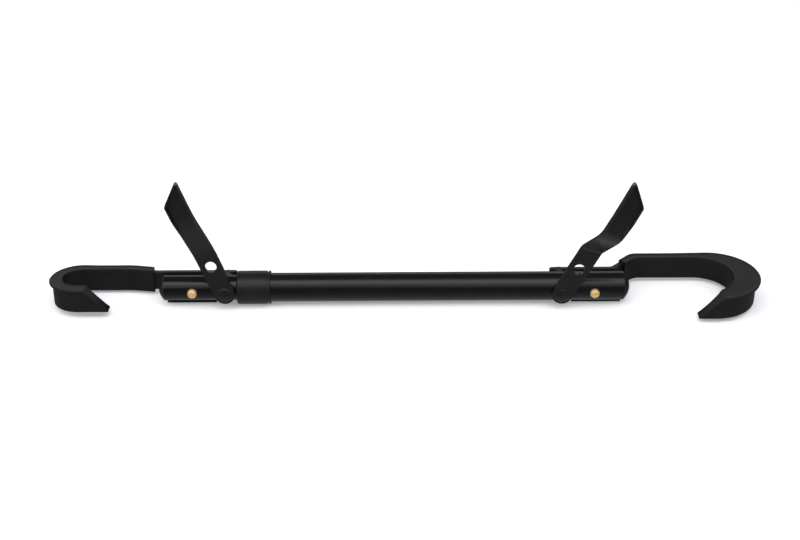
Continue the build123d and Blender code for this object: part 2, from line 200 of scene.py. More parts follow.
# level of the studio's grey from straight below at 0 to straight above at 1
GROUND_COLOUR = (0.42, 0.43, 0.46)
HORIZON = 0.5
HORIZON_COLOUR = (0.07, 0.07, 0.072)
STUDIO_LEVELS = ((0.25, 0.20), (0.46, 0.075), (0.75, 0.07), (1.0, 0.10))
STUDIO_BLUE = 1.02


def make_floor():
    floor_z = min(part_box(name)[0].z for name in nodes)
    half = FLOOR_SIZE / 2
    corners = [(x, y, floor_z) for x, y in ((-half, -half), (half, -half), (half, half), (-half, half))]
    mesh = bpy.data.meshes.new("floor")
    mesh.from_pydata(corners, [], [(0, 1, 2, 3)])
    floor = link_object("floor", mesh)
    material = bpy.data.materials.new("floor_paper")
    material.use_nodes = True
    paper = material.node_tree.nodes["Principled BSDF"].inputs
    paper["Base Color"].default_value = (*PAPER_COLOUR, 1)
    paper["Roughness"].default_value = PAPER_ROUGHNESS
    paper["Specular IOR Level"].default_value = PAPER_SPECULAR
    paper["Emission Color"].default_value = (1, 1, 1, 1)
    paper["Emission Strength"].default_value = PAPER_GLOW
    mesh.materials.append(material)
    floor.visible_glossy = False


def make_softbox(box):
    data = bpy.data.lights.new(box.name, "AREA")
    data.shape = "RECTANGLE"
    data.size = box.width
    data.size_y = box.height
    data.energy = box.watts
    lamp = link_object(box.name, data)
    lamp.location = box.place
    lamp.rotation_euler = (Vector(box.target) - Vector(box.place)).to_track_quat("-Z", "Y").to_euler()


def ceiling_bounce():
    """Wide soft light from above that whitens the floor without a highlight of its own."""
    data = bpy.data.lights.new("ceiling_bounce", "SUN")
    data.energy = BOUNCE_STRENGTH
    data.angle = math.radians(BOUNCE_SPREAD)
    lamp = link_object("ceiling_bounce", data)
    lamp.visible_glossy = False
    lamp.rotation_euler = (math.radians(BOUNCE_TILT[0]), math.radians(BOUNCE_TILT[1]), 0)


def make_world():
    """Dim studio round the object, paler towards the ground as the paper is."""
    world = bpy.data.worlds.new("studio")
    world.use_nodes = True
    tree = world.node_tree
    background = tree.nodes["Background"]
    where = tree.nodes.new("ShaderNodeTexCoord")
    split = tree.nodes.new("ShaderNodeSeparateXYZ")
    levels = tree.nodes.new("ShaderNodeValToRGB")
    # height runs from -1 to 1 and the levels from 0 to 1
    height = tree.nodes.new("ShaderNodeMath")
    height.operation = "MULTIPLY_ADD"
    height.inputs[1].default_value = 0.5
    height.inputs[2].default_value = 0.5
    tree.links.new(where.outputs["Generated"], split.inputs[0])
    tree.links.new(split.outputs["Z"], height.inputs[0])
    tree.links.new(height.outputs[0], levels.inputs[0])
    tree.links.new(levels.outputs["Color"], background.inputs["Color"])
    stops = levels.color_ramp.elements
    stops[0].position = 0.0
    stops[0].color = (*GROUND_COLOUR, 1)
    stops[1].position = HORIZON
    stops[1].color = (*HORIZON_COLOUR, 1)
    for position, level in STUDIO_LEVELS:
        stops.new(position).color = (level, level, level * STUDIO_BLUE, 1)
    bpy.context.scene.world = world


make_floor()
make_world()
for box in SOFTBOXES:
    make_softbox(box)
ceiling_bounce()
bpy.context.scene.view_settings.view_transform = "Standard"


# ---------------------------------------------------------------- materials

DRIFT_SCALE = 45.0
DRIFT_DETAIL = 5.0
DRIFT_ROUGHNESS = 0.6
GRAIN_DETAIL = 3.0
NOISE_LOW = 0.3             # range of the noises that is spread over the range of roughness
NOISE_HIGH = 0.7
GRAIN_SHARE = 0.4           # of the roughness pattern; the colour drift's noise makes the rest
EDGE_REACH = 0.0006         # metres
EDGE_SAMPLES = 4
EDGE_FLAT = 0.995           # how well the rounded and true normals agree away from edges
EDGE_SHARP = 0.90           # and where the rubbing and the painted edge highlight are at their strongest

# sockets of a mix node that is set to colours
MIX_FACTOR, MIX_A, MIX_B, MIX_RESULT = 0, 6, 7, 2


def finish(name, base, tone, rough, spread, grain, depth, metallic=0.0, specular=0.5,
           edge=0.35, edge_wear_and_highlight_tone=(0.16, 0.16, 0.165)):
    """Surface with a slow colour drift, a fine grain in its bump and roughness, and edges lightened partly
    as rubbed wear and partly as a painted highlight.
    """
    material = bpy.data.materials.new(name)
    material.use_nodes = True
    tree = material.node_tree
    link = tree.links.new
    make = tree.nodes.new
    shader = tree.nodes["Principled BSDF"]
    shader.inputs["Metallic"].default_value = metallic
    shader.inputs["Specular IOR Level"].default_value = specular
    where = make("ShaderNodeTexCoord")

    slow = make("ShaderNodeTexNoise")
    slow.inputs["Scale"].default_value = DRIFT_SCALE
    slow.inputs["Detail"].default_value = DRIFT_DETAIL
    slow.inputs["Roughness"].default_value = DRIFT_ROUGHNESS
    link(where.outputs["Object"], slow.inputs["Vector"])
    fine = make("ShaderNodeTexNoise")
    fine.inputs["Scale"].default_value = grain
    fine.inputs["Detail"].default_value = GRAIN_DETAIL
    link(where.outputs["Object"], fine.inputs["Vector"])

    drift = make("ShaderNodeMix")
    drift.data_type = "RGBA"
    drift.inputs[MIX_A].default_value = (*base, 1)
    drift.inputs[MIX_B].default_value = (*tone, 1)
    link(slow.outputs["Fac"], drift.inputs[MIX_FACTOR])

    # lighter edges: partly rubbed wear, partly a painted highlight along rims and outlines
    rounded = make("ShaderNodeBevel")
    rounded.samples = EDGE_SAMPLES
    rounded.inputs["Radius"].default_value = EDGE_REACH
    true_face = make("ShaderNodeNewGeometry")
    compare = make("ShaderNodeVectorMath")
    compare.operation = "DOT_PRODUCT"
    link(rounded.outputs["Normal"], compare.inputs[0])
    link(true_face.outputs["Normal"], compare.inputs[1])
    mask = make("ShaderNodeMapRange")
    mask.inputs["From Min"].default_value = EDGE_FLAT
    mask.inputs["From Max"].default_value = EDGE_SHARP
    mask.inputs["To Min"].default_value = 0.0
    mask.inputs["To Max"].default_value = edge
    link(compare.outputs["Value"], mask.inputs["Value"])
    rubbed_and_highlit_amount = make("ShaderNodeMath")
    rubbed_and_highlit_amount.operation = "MULTIPLY"
    link(mask.outputs["Result"], rubbed_and_highlit_amount.inputs[0])
    link(slow.outputs["Fac"], rubbed_and_highlit_amount.inputs[1])
    worn_and_highlit = make("ShaderNodeMix")
    worn_and_highlit.data_type = "RGBA"
    worn_and_highlit.inputs[MIX_B].default_value = (*edge_wear_and_highlight_tone, 1)
    link(rubbed_and_highlit_amount.outputs[0], worn_and_highlit.inputs[MIX_FACTOR])
    link(drift.outputs[MIX_RESULT], worn_and_highlit.inputs[MIX_A])
    link(worn_and_highlit.outputs[MIX_RESULT], shader.inputs["Base Color"])

    drift_part = make("ShaderNodeMath")
    drift_part.operation = "MULTIPLY"
    drift_part.inputs[1].default_value = 1 - GRAIN_SHARE
    link(slow.outputs["Fac"], drift_part.inputs[0])
    pattern = make("ShaderNodeMath")
    pattern.operation = "MULTIPLY_ADD"
    pattern.inputs[1].default_value = GRAIN_SHARE
    link(fine.outputs["Fac"], pattern.inputs[0])
    link(drift_part.outputs[0], pattern.inputs[2])
    polish = make("ShaderNodeMapRange")
    polish.inputs["From Min"].default_value = NOISE_LOW
    polish.inputs["From Max"].default_value = NOISE_HIGH
    polish.inputs["To Min"].default_value = rough - spread
    polish.inputs["To Max"].default_value = rough + spread
    link(pattern.outputs[0], polish.inputs["Value"])
    link(polish.outputs["Result"], shader.inputs["Roughness"])

    bump = make("ShaderNodeBump")
    bump.inputs["Strength"].default_value = 1.0
    bump.inputs["Distance"].default_value = depth
    link(fine.outputs["Fac"], bump.inputs["Height"])
    link(bump.outputs["Normal"], shader.inputs["Normal"])
    return material


# grain is its noise's scale, and depth is the bump's in metres; the edge settings lighten the edges, partly
# as rubbed wear and partly as a painted highlight
FINISH_SETTINGS = {
    "tube_paint": dict(base=(0.0035, 0.0035, 0.0037), tone=(0.0060, 0.0060, 0.0063), rough=0.25,
                       spread=0.04, grain=1400.0, depth=0.000006),
    "tube_gloss": dict(base=(0.0030, 0.0030, 0.0032), tone=(0.0050, 0.0050, 0.0052), rough=0.18,
                       spread=0.03, grain=1100.0, depth=0.000004),
    "plate_coat": dict(base=(0.0060, 0.0060, 0.0062), tone=(0.0105, 0.0105, 0.0108), rough=0.21,
                       spread=0.04, grain=1700.0, depth=0.000004, specular=0.58,
                       edge_wear_and_highlight_tone=(0.08, 0.08, 0.082)),
    "strip_coat": dict(base=(0.0060, 0.0060, 0.0062), tone=(0.0100, 0.0100, 0.0102), rough=0.40,
                       spread=0.05, grain=1700.0, depth=0.000012, specular=0.45, edge=0.4),
    "rubber": dict(base=(0.0068, 0.0068, 0.0070), tone=(0.0125, 0.0125, 0.0129), rough=0.42,
                   spread=0.06, grain=2200.0, depth=0.000020, specular=0.26, edge=0.25,
                   edge_wear_and_highlight_tone=(0.06, 0.06, 0.062)),
    "collar_plastic": dict(base=(0.0080, 0.0080, 0.0080), tone=(0.0120, 0.0120, 0.0120), rough=0.38,
                           spread=0.05, grain=1800.0, depth=0.000015, specular=0.4, edge=0.25),
    "plug_plastic": dict(base=(0.0070, 0.0070, 0.0072), tone=(0.0110, 0.0110, 0.0112), rough=0.42,
                         spread=0.05, grain=1500.0, depth=0.000012, specular=0.45, edge=0.25),
    "saddle_coat": dict(base=(0.0015, 0.0015, 0.0016), tone=(0.0030, 0.0030, 0.0031), rough=0.55,
                        spread=0.05, grain=1700.0, depth=0.000012, specular=0.10, edge=0.15),
    "guide_plastic": dict(base=(0.55, 0.54, 0.50), tone=(0.68, 0.67, 0.62), rough=0.45,
                          spread=0.05, grain=1200.0, depth=0.000012, edge=0.1,
                          edge_wear_and_highlight_tone=(0.8, 0.8, 0.78)),
    "rivet_black": dict(base=(0.0060, 0.0060, 0.0062), tone=(0.0120, 0.0120, 0.0122), rough=0.30,
                        spread=0.06, grain=1300.0, depth=0.000015, specular=0.55, edge=0.6),
    "washer_plate": dict(base=(0.030, 0.030, 0.031), tone=(0.055, 0.055, 0.056), rough=0.34,
                         spread=0.06, grain=1500.0, depth=0.000008, metallic=0.7, edge=0.5,
                         edge_wear_and_highlight_tone=(0.3, 0.3, 0.3)),
    "brass": dict(base=(0.86, 0.54, 0.21), tone=(0.95, 0.67, 0.32), rough=0.24,
                  spread=0.05, grain=1600.0, depth=0.000006, metallic=0.45, edge=0.5,
                  edge_wear_and_highlight_tone=(0.85, 0.66, 0.34)),
}
FINISHES = {name: finish(name, **settings) for name, settings in FINISH_SETTINGS.items()}

NODE_FINISH = {
    "main_tube": "tube_paint",
    "inner_tube": "tube_gloss",
    "tube_collar": "collar_plastic",
    "inner_plug": "guide_plastic",
    "guide_bush": "guide_plastic",
    "hook_core": "strip_coat",
    "hook_cover": "rubber",
    "saddle": "saddle_coat",
    "end_plug": "plug_plastic",
    "pivot_rivet": "rivet_black",
    "pivot_spacer": "washer_plate",
    "pivot_washer": "washer_plate",
    "rear_washer": "rivet_black",
    "blind_rivet": "rivet_black",
    "button_bezel": "plug_plastic",
    "snap_button": "brass",
    "gate_lever": "plate_coat",
}

# how much each kind of node's edges are rounded; the kinds that are replaced below need none
NODE_ROUNDING = {
    "hook_core": 0.4,
    "saddle": 0.4,
    "rear_washer": 0.25,
    "pivot_washer": 0.2,
    "button_bezel": 0.15,
    "main_tube": 0.25,
    "inner_tube": 0.25,
    "pivot_rivet": 0.25,
}
NODE_ANGLE = 35.0           # edges that turn by more than this are rounded on CAD nodes
PIECE_ANGLE = 50.0          # and on the pieces made here
WELD_REACH = 0.000005       # metres
BEVEL_SEGMENTS = 3


def soften(piece, radius, angle):
    weld = piece.modifiers.new("weld", "WELD")
    weld.merge_threshold = WELD_REACH
    bevel = piece.modifiers.new("edges", "BEVEL")
    bevel.width = radius * MM
    bevel.segments = BEVEL_SEGMENTS
    bevel.limit_method = "ANGLE"
    bevel.angle_limit = math.radians(angle)
    normals = piece.modifiers.new("normals", "WEIGHTED_NORMAL")
    normals.keep_sharp = True


def dress_nodes():
    for name, piece in nodes.items():
        kind = name.removeprefix("left_").removeprefix("right_")
        piece.data.materials.clear()
        piece.data.materials.append(FINISHES[NODE_FINISH[kind]])
        if kind in NODE_ROUNDING:
            soften(piece, NODE_ROUNDING[kind], NODE_ANGLE)


dress_nodes()


# ---------------------------------------------------------------- hook covers


@dataclass
class Hook:
    """Plan sizes of one rubber cover."""

    name: str
    side: int
    turn: float
    start: tuple            # near side, far side
    knee: tuple             # near side, far side
    bore_centre: tuple
    bore_radius: float
    back_centre: tuple
    back_radius: float
    tip_middle: float
    lip: float              # how far the upper rim stands out at the bend
    lip_crown: float        # and at the bend's crown
    ribs: float             # height of the ribs inside the back leg


HOOKS = (
    Hook(
        name="right", side=1, turn=0.0,
        start=((170.5, 20.7), (164.7, 26.5)), knee=((179.4, 29.6), (176.3, 38.1)),
        bore_centre=(230.7, 0.3), bore_radius=29.3, back_centre=(240.3, -0.8), back_radius=38.9,
        tip_middle=235.5, lip=1.1, lip_crown=3.8, ribs=0.0,
    ),
    Hook(
        name="left", side=-1, turn=LEFT_TURN,
        start=((243.0, 12.4), (243.0, 21.0)), knee=((262.0, 16.0), (262.0, 24.8)),
        bore_centre=(303.8, 0.75), bore_radius=15.25, back_centre=(302.2, -0.6), back_radius=25.4,
        tip_middle=287.2, lip=1.1, lip_crown=2.7, ribs=0.25,
    ),
)

HALF_HEIGHT = 10.5
TIP_LEAN = 10.0             # how far the slanted tip runs along the bar over half the height
TIP_BORDER = 1.2            # the slanted tip's flat border, then its step down
TIP_STEP = 0.3
TIP_SINK = 0.5
CORNER = 1.0
LIP_CORNER = 0.9
LIP_LEAN = 0.25
LIP_FOOT = 0.12             # share of the lip that is left where it meets the wall
KNEE_BLEND = 5.0
START_STEPS = 4
KNEE_STEPS = 6
LEG_STEPS = 26
BEND_STEPS = 64
FRONT_STEPS = 6
CORNER_STEPS = 4
SWELL_STEPS = 8             # the lip swells over half the back leg and this far into the bend
FIRST_RIB = 4               # stations from the back leg's start to the first rib
AT_RIM = 0.01               # points this near the bore side are moved by a rib
BORE_SIDE = 1.0             # and between the corners, points this near it
SIDE_ROUNDING = 0.3         # the corners take up at most this share of the cover's thickness
DISH = 0.35
DISH_NEAR = ((0.7, 0.6), (1.6, 1.0))    # run in from the bore's rim, and share of the dish's depth there
DISH_FAR = ((2.2, 1.0), (1.3, 0.5))     # and from the outer rim
GROOVE = 0.7                # the bore's wall lies this far behind its rims
LOWER_RIM = 2.6
UPPER_RIM = 3.0
UPPER_RIM_TOP = 2.1
LIP_BOTTOM = 2.0            # depth below the top of the lip's edge, of its root and of the plain wall
LIP_ROOT = 2.4
WALL_TOP = 3.2
FRONT_LEG = -2.0            # the front leg lies beyond this Y
COVER_ROUNDING = 0.6


def rail(start, knee, centre, radius, leg_end):
    """One side of the cover in plan: first leg, rounded knee, back leg, half-circle bend, front leg."""
    top = (centre[0], centre[1] + radius)
    foot = (centre[0], centre[1] - radius)
    a = between(knee, start, KNEE_BLEND / math.dist(start, knee))
    b = between(knee, top, KNEE_BLEND / math.dist(knee, top))
    points = [between(start, a, i / START_STEPS) for i in range(START_STEPS)]
    points += [rounded_corner(a, knee, b, i / KNEE_STEPS) for i in range(KNEE_STEPS)]
    points += [between(b, top, i / LEG_STEPS) for i in range(LEG_STEPS)]
    for i in range(BEND_STEPS):
        angle = math.pi / 2 - math.pi * i / BEND_STEPS
        points.append((centre[0] + radius * math.cos(angle), centre[1] + radius * math.sin(angle)))
    points += [between(foot, (leg_end, foot[1]), i / FRONT_STEPS) for i in range(FRONT_STEPS + 1)]
    return points


def section(thick, lip):
    """Closed outline of the cover at one station: distance from the bore side, and height."""
    h = HALF_HEIGHT
    r = min(CORNER, thick * SIDE_ROUNDING)
    edge = thick + lip
    outline = []

    def corner(u, z, first, radius=r):
        for i in range(CORNER_STEPS + 1):
            angle = math.radians(first - 90 * i / CORNER_STEPS)
            outline.append((u + radius * math.cos(angle), z + radius * math.sin(angle)))

    # bore side, with its groove
    corner(r, -h + r, 270)
    outline += [(GROOVE, -h + LOWER_RIM), (GROOVE, 0), (GROOVE, h - UPPER_RIM), (0, h - UPPER_RIM_TOP)]
    corner(r, h - r, 180)
    # dished top
    outline += [(r + run, h - DISH * share) for run, share in DISH_NEAR]
    outline.append((thick * 0.5, h - DISH))
    outline += [(edge - r - run, h - DISH * share) for run, share in DISH_FAR]
    # lip and outer wall
    corner(edge - LIP_CORNER, h - LIP_CORNER, 90, LIP_CORNER)
    root = thick + (lip - LIP_LEAN) * LIP_FOOT
    outline += [(edge - LIP_LEAN, h - LIP_BOTTOM), (root, h - LIP_ROOT), (thick, h - WALL_TOP), (thick, 0)]
    corner(thick - r, -h + r, 0)
    return outline


def cover_rings(hook):
    leg_end = hook.tip_middle - 2 * TIP_LEAN
    near = rail(hook.start[0], hook.knee[0], hook.bore_centre, hook.bore_radius, leg_end)
    far = rail(hook.start[1], hook.knee[1], hook.back_centre, hook.back_radius, leg_end)
    first_leg = START_STEPS + KNEE_STEPS
    rings = []
    for i, (p, q) in enumerate(zip(near, far)):
        thick = math.dist(p, q)
        along = ((q[0] - p[0]) / thick, (q[1] - p[1]) / thick)
        swell = min(1.0, max(0.0, (i - first_leg - LEG_STEPS * 0.5) / (LEG_STEPS * 0.5 + SWELL_STEPS)))
        into_bend = (i - first_leg - LEG_STEPS) / BEND_STEPS
        crown = math.sin(math.pi * min(1.0, max(0.0, into_bend)))
        lip = hook.lip * swell * swell * (3 - 2 * swell) + (hook.lip_crown - hook.lip) * crown
        on_leg = first_leg + FIRST_RIB <= i <= first_leg + LEG_STEPS
        rib = hook.ribs if on_leg and i % 2 else 0.0
        ring = []
        for u, z in section(thick, lip):
            if u < AT_RIM or (abs(z) < HALF_HEIGHT - CORNER and u < BORE_SIDE):
                u += rib
            ring.append((p[0] + along[0] * u, p[1] + along[1] * u, z))
        rings.append(ring)
    return rings


def cut_tip(mesh, hook):
    """Cuts the front leg on its slant and gives the cut face a sunk middle."""
    front = [f for f in mesh.faces if all(v.co.y < FRONT_LEG for v in f.verts)]
    # each edge and point once, in a fixed order, so that every run makes the same mesh
    edges = list(dict.fromkeys(e for f in front for e in f.edges))
    verts = list(dict.fromkeys(v for f in front for v in f.verts))
    cut = bmesh.ops.bisect_plane(
        mesh,
        geom=front + edges + verts,
        plane_co=(hook.tip_middle, 0, 0),
        plane_no=(1, 0, -TIP_LEAN / HALF_HEIGHT),
        clear_inner=True,
    )
    rim = [e for e in cut["geom_cut"] if isinstance(e, bmesh.types.BMEdge)]
    slant = bmesh.ops.holes_fill(mesh, edges=rim, sides=0)["faces"]
    bmesh.ops.inset_region(mesh, faces=slant, thickness=TIP_BORDER, depth=0.0)
    bmesh.ops.inset_region(mesh, faces=slant, thickness=TIP_STEP, depth=-TIP_SINK)


def hook_cover(hook):
    name = f"{hook.name}_hook_rubber"
    mesh = bmesh.new()
    add_rings(mesh, cover_rings(hook))
    bmesh.ops.recalc_face_normals(mesh, faces=mesh.faces[:])
    cut_tip(mesh, hook)
    data = placed_data(mesh, name, end_place(hook.side, hook.turn))
    dress(data, "rubber")
    piece = link_object(name, data)
    soften(piece, COVER_ROUNDING, PIECE_ANGLE)
    return piece


for hook in HOOKS:
    cover = hook_cover(hook)
    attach(cover, nodes[f"{hook.name}_hook_cover"]["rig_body"])
    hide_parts(f"{hook.name}_hook_cover")


# ---------------------------------------------------------------- gate levers


@dataclass
class Lever:
    """One stamped gate lever, X measured from its pivot, Y negative away from the tube."""

    name: str
    side: int
    turn: float
    pivot: float
    open_angle: float
    plate: float            # Y of the plate's middle at the tube
    jog: tuple              # where the outward jog starts and ends
    soft: tuple             # half length of the bend at each end of the jog
    skew: float             # how far the bends run on toward the lower edge, per unit of height
    tray: float             # Y of the tray's outer face
    rim: tuple              # where the turned-out rims start and where they reach full height
    end: float              # where the slanted end crosses the lever's middle line
    crease: float           # where the tray starts to lean back
    lean_back: float
    blunt: float            # how much rounder than plain the end's upper corner is


LEVERS = (
    Lever(
        name="right", side=1, turn=0.0, pivot=111.1, open_angle=62.5, plate=-15.1,
        jog=(49.0, 74.0), soft=(1.6, 6.0), skew=0.16, tray=-38.0, rim=(74.0, 98.0),
        end=119.4, crease=78.0, lean_back=0.10, blunt=1.3,
    ),
    Lever(
        name="left", side=-1, turn=LEFT_TURN, pivot=178.0, open_angle=68.6, plate=-13.6,
        jog=(42.0, 75.0), soft=(7.0, 9.0), skew=0.0, tray=-24.0, rim=(62.0, 88.0),
        end=105.6, crease=500.0, lean_back=0.0, blunt=1.0,
    ),
)

THICK = 3.0
BOSS = 8.5
HALF = 9.2
FLARE = 25.0
RIM = 4.0
RIM_TOP = 1.1
RIM_FOOT = 2.5
RIM_ROUND = 0.35            # how much the rim's crest drops at the very edge
RIM_ROUND_REACH = 0.7
BACK_DRAWN = 1.6            # how much the inner face is drawn in at the very edge
BACK_REACH = 2.6
END_NEARNESS = 0.72         # distance to the slanted end, per unit along the lever
SHEAR = TIP_LEAN / HALF_HEIGHT
SKEW_FROM = HALF * 0.6
LEAN_SOFT = 0.8
SLOPE_STEP = 0.1

HOLES = ((28.5, 5.0), (0.0, 4.05))      # latch hole and pivot hole: place and radius
DRILL_SIDES = 64
DRILL_LENGTH = 30.0
LEVER_WELD = 0.001
LEVER_ROUNDING = 0.45

# where the lever's points stand across its width, closer together toward its edges
ACROSS = (-1, -0.97, -0.93, -0.89, -0.85, -0.81, -0.77, -0.73, -0.68, -0.5, -0.25, 0,
          0.25, 0.5, 0.68, 0.73, 0.77, 0.81, 0.85, 0.89, 0.93, 0.97, 1)
BOSS_ROWS = 4
STATIONS = 110
LAST_STATION = 108
END_STATIONS = (2.4, 1.9, 1.5, 1.1, 0.8, 0.5, 0.25, 0.0)
END_RUN = 9.0               # the end's corners are rounded within this length
UPPER_ROUND = (3.6, 0.70)   # how far back the corner is drawn, and from where across the width
LOWER_ROUND = (0.9, 0.75)


def ramp(x, start, soft):
    """Zero before start, rising one for one after it, with the corner rounded over soft either side."""
    if x <= start - soft:
        return 0.0
    if x >= start + soft:
        return x - start
    return (x - start + soft) ** 2 / (4 * soft)


def mid_surface(lever, x, z):
    slope = (lever.tray + THICK / 2 - lever.plate) / (lever.jog[1] - lever.jog[0])
    skewed = lever.skew * (SKEW_FROM - z)
    rise = ramp(x, lever.jog[0] + skewed, lever.soft[0]) - ramp(x, lever.jog[1] + skewed, lever.soft[1])
    return lever.plate + slope * rise + lever.lean_back * ramp(x, lever.crease, LEAN_SOFT)


def half_width(x):
    return BOSS + (HALF - BOSS) * min(1.0, max(0.0, x) / FLARE)


def corner_round(v, depth, start):
    return depth * max(0.0, (v - start) / (1 - start)) ** 2


def lever_grid(lever):
    """Rows of (x, z) that cover the lever's outline, from its round boss to its slanted end."""
    rows = []
    for i in range(BOSS_ROWS):
        row = []
        for v in ACROSS:
            z = v * BOSS
            row.append((-math.sqrt(max(0.0, BOSS**2 - z**2)) * (1 - i / BOSS_ROWS), z))
        rows.append(row)
    stations = [lever.end * i / STATIONS for i in range(LAST_STATION)]
    stations += [lever.end - d for d in END_STATIONS]
    for x in sorted(set(stations)):
        shear = SHEAR * smooth((x - lever.jog[0]) / (lever.end - lever.jog[0]))
        half = half_width(x)
        near_end = smooth(1 - (lever.end - x) / END_RUN)
        row = []
        for v in ACROSS:
            rounding = lever.blunt * corner_round(v, *UPPER_ROUND) + corner_round(-v, *LOWER_ROUND)
            row.append((x + v * half * shear - near_end * rounding, v * half))
        rows.append(row)
    return rows


def edge_distance(lever, x, z):
    return min(HALF - abs(z), (lever.end + z * SHEAR - x) * END_NEARNESS)


def rim_share(lever, x):
    return smooth((x - lever.rim[0]) / (lever.rim[1] - lever.rim[0]))


def rim_height(lever, x, z):
    """How far the outer face stands up at this place, for the turned-out rims."""
    edge = edge_distance(lever, x, z)
    rise = 1 - smooth((edge - RIM_TOP) / (RIM_FOOT - RIM_TOP))
    crest = RIM_ROUND * max(0.0, 1 - edge / RIM_ROUND_REACH) ** 2
    return max(0.0, RIM * rim_share(lever, x) * rise - crest)


def back_relief(lever, x, z):
    """How far the inner face is drawn in at its edges, as bent sheet is."""
    edge = edge_distance(lever, x, z)
    return BACK_DRAWN * rim_share(lever, x) * max(0.0, 1 - edge / BACK_REACH) ** 2


def lever_mesh(lever):
    mesh = bmesh.new()
    outer, inner = [], []
    for row in lever_grid(lever):
        out_row, in_row = [], []
        for x, z in row:
            y = mid_surface(lever, x, z)
            ahead, behind = mid_surface(lever, x + SLOPE_STEP, z), mid_surface(lever, x - SLOPE_STEP, z)
            slope = (ahead - behind) / (2 * SLOPE_STEP)
            scale = math.sqrt(1 + slope * slope)
            nx, ny = slope / scale, -1 / scale
            out = THICK / 2 + rim_height(lever, x, z)
            back = THICK / 2 - back_relief(lever, x, z)
            out_row.append(mesh.verts.new((x + nx * out, y + ny * out, z)))
            in_row.append(mesh.verts.new((x - nx * back, y - ny * back, z)))
        outer.append(out_row)
        inner.append(in_row)
    rows, columns = len(outer), len(ACROSS)
    for i in range(rows - 1):
        for j in range(columns - 1):
            mesh.faces.new((outer[i][j], outer[i][j + 1], outer[i + 1][j + 1], outer[i + 1][j]))
            mesh.faces.new((inner[i][j], inner[i + 1][j], inner[i + 1][j + 1], inner[i][j + 1]))
        for j in (0, columns - 1):
            mesh.faces.new((outer[i][j], outer[i + 1][j], inner[i + 1][j], inner[i][j]))
    for i in (0, rows - 1):
        for j in range(columns - 1):
            mesh.faces.new((outer[i][j], outer[i][j + 1], inner[i][j + 1], inner[i][j]))
    bmesh.ops.remove_doubles(mesh, verts=mesh.verts[:], dist=LEVER_WELD)
    bmesh.ops.recalc_face_normals(mesh, faces=mesh.faces[:])
    return mesh


def drill(place, x, radius):
    """Cutter for a round hole through the plate."""
    mesh = bmesh.new()
    ends = (0.0, -DRILL_LENGTH)
    add_rings(mesh, [circle(radius, DRILL_SIDES, lambda c, s, y=y: (x + c, y, s)) for y in ends])
    return link_object("drill", placed_data(mesh, "drill", place))


def gate_plate(lever):
    name = f"{lever.name}_gate_plate"
    swing = Matrix.Rotation(math.radians(-lever.side * lever.open_angle), 4, "Y")
    shift = Matrix.Translation((lever.side * lever.pivot * MM, 0, 0))
    turn = Matrix.Rotation(math.radians(lever.turn), 4, "X")
    place = turn @ shift @ swing @ end_place(lever.side, 0.0)
    piece = link_object(name, placed_data(lever_mesh(lever), name, place))
    cutters = [drill(place, x, radius) for x, radius in HOLES]
    for cutter in cutters:
        cut = piece.modifiers.new("hole", "BOOLEAN")
        cut.operation = "DIFFERENCE"
        cut.solver = "EXACT"
        cut.object = cutter
    bpy.context.view_layer.update()
    drilled = bpy.data.meshes.new_from_object(piece.evaluated_get(bpy.context.evaluated_depsgraph_get()))
    drilled.name = name
    piece.modifiers.clear()
    piece.data = drilled
    for cutter in cutters:
        bpy.data.objects.remove(cutter)
    dress(drilled, "plate_coat")
    soften(piece, LEVER_ROUNDING, PIECE_ANGLE)
    return piece


for lever in LEVERS:
    plate = gate_plate(lever)
    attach(plate, nodes[f"{lever.name}_gate_lever"]["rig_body"])
    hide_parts(f"{lever.name}_gate_lever")


# ---------------------------------------------------------------- snap buttons


@dataclass
class Snap:
    """One button with its folded leaf."""

    name: str
    side: int
    turn: float
    place: float
    tube_radius: float
    tube_wall: float
    tube: str               # the body that the leaf bears on; not used
    button: str             # the body that the head rides on; not used


SNAPS = (
    Snap(
        name="right", side=1, turn=0.0, place=139.6, tube_radius=MAIN_RADIUS, tube_wall=MAIN_WALL,
        tube="main_tube", button="right_button",
    ),
    Snap(
        name="left", side=-1, turn=LEFT_TURN, place=206.5, tube_radius=INNER_RADIUS, tube_wall=INNER_WALL,
        tube="inner_tube", button="left_button",
    ),
)

BUTTON_RADIUS = 4.0
BUTTON_HEIGHT = 4.3
BUTTON_DOME = 2.6
DOME_TURNS = 12
DIMPLE_RADIUS = 0.9
DIMPLE = ((0.15, 0.42), (0.45, 0.28), (0.72, 0.08))     # radius and depth
FLANGE_RADIUS = 4.8
FLANGE_EDGE = 0.1
FLANGE_GAP = 0.25           # between the flange and the tube's wall
MIDDLE = 0.15               # radius of the small face that closes the underside

LEAF_THICK = 0.6
LEAF_HALF = 3.0
LEAF_PAD = 4.0              # half length of the leaf's run under the head
LEAF_REACH = 14.5           # from the button's axis to the fold
LEAF_RISE = 4.5             # straight length between the fold's two corners
LEAF_TAIL = 2.0             # how far the free end runs back past the button's axis
LEAF_BEND = 1.5
BEND_POINTS = 6
LEAF_GAP = 0.3              # between the free end and the far wall
LEAF_PITCH = 1.2
LEAF_SECTION = ((-1, -0.6), (-0.96, -1), (0.96, -1), (1, -0.6), (1, 0.6), (0.96, 1), (-0.96, 1), (-1, 0.6))

TURNS = 48
SHARP_ANGLE = 40.0


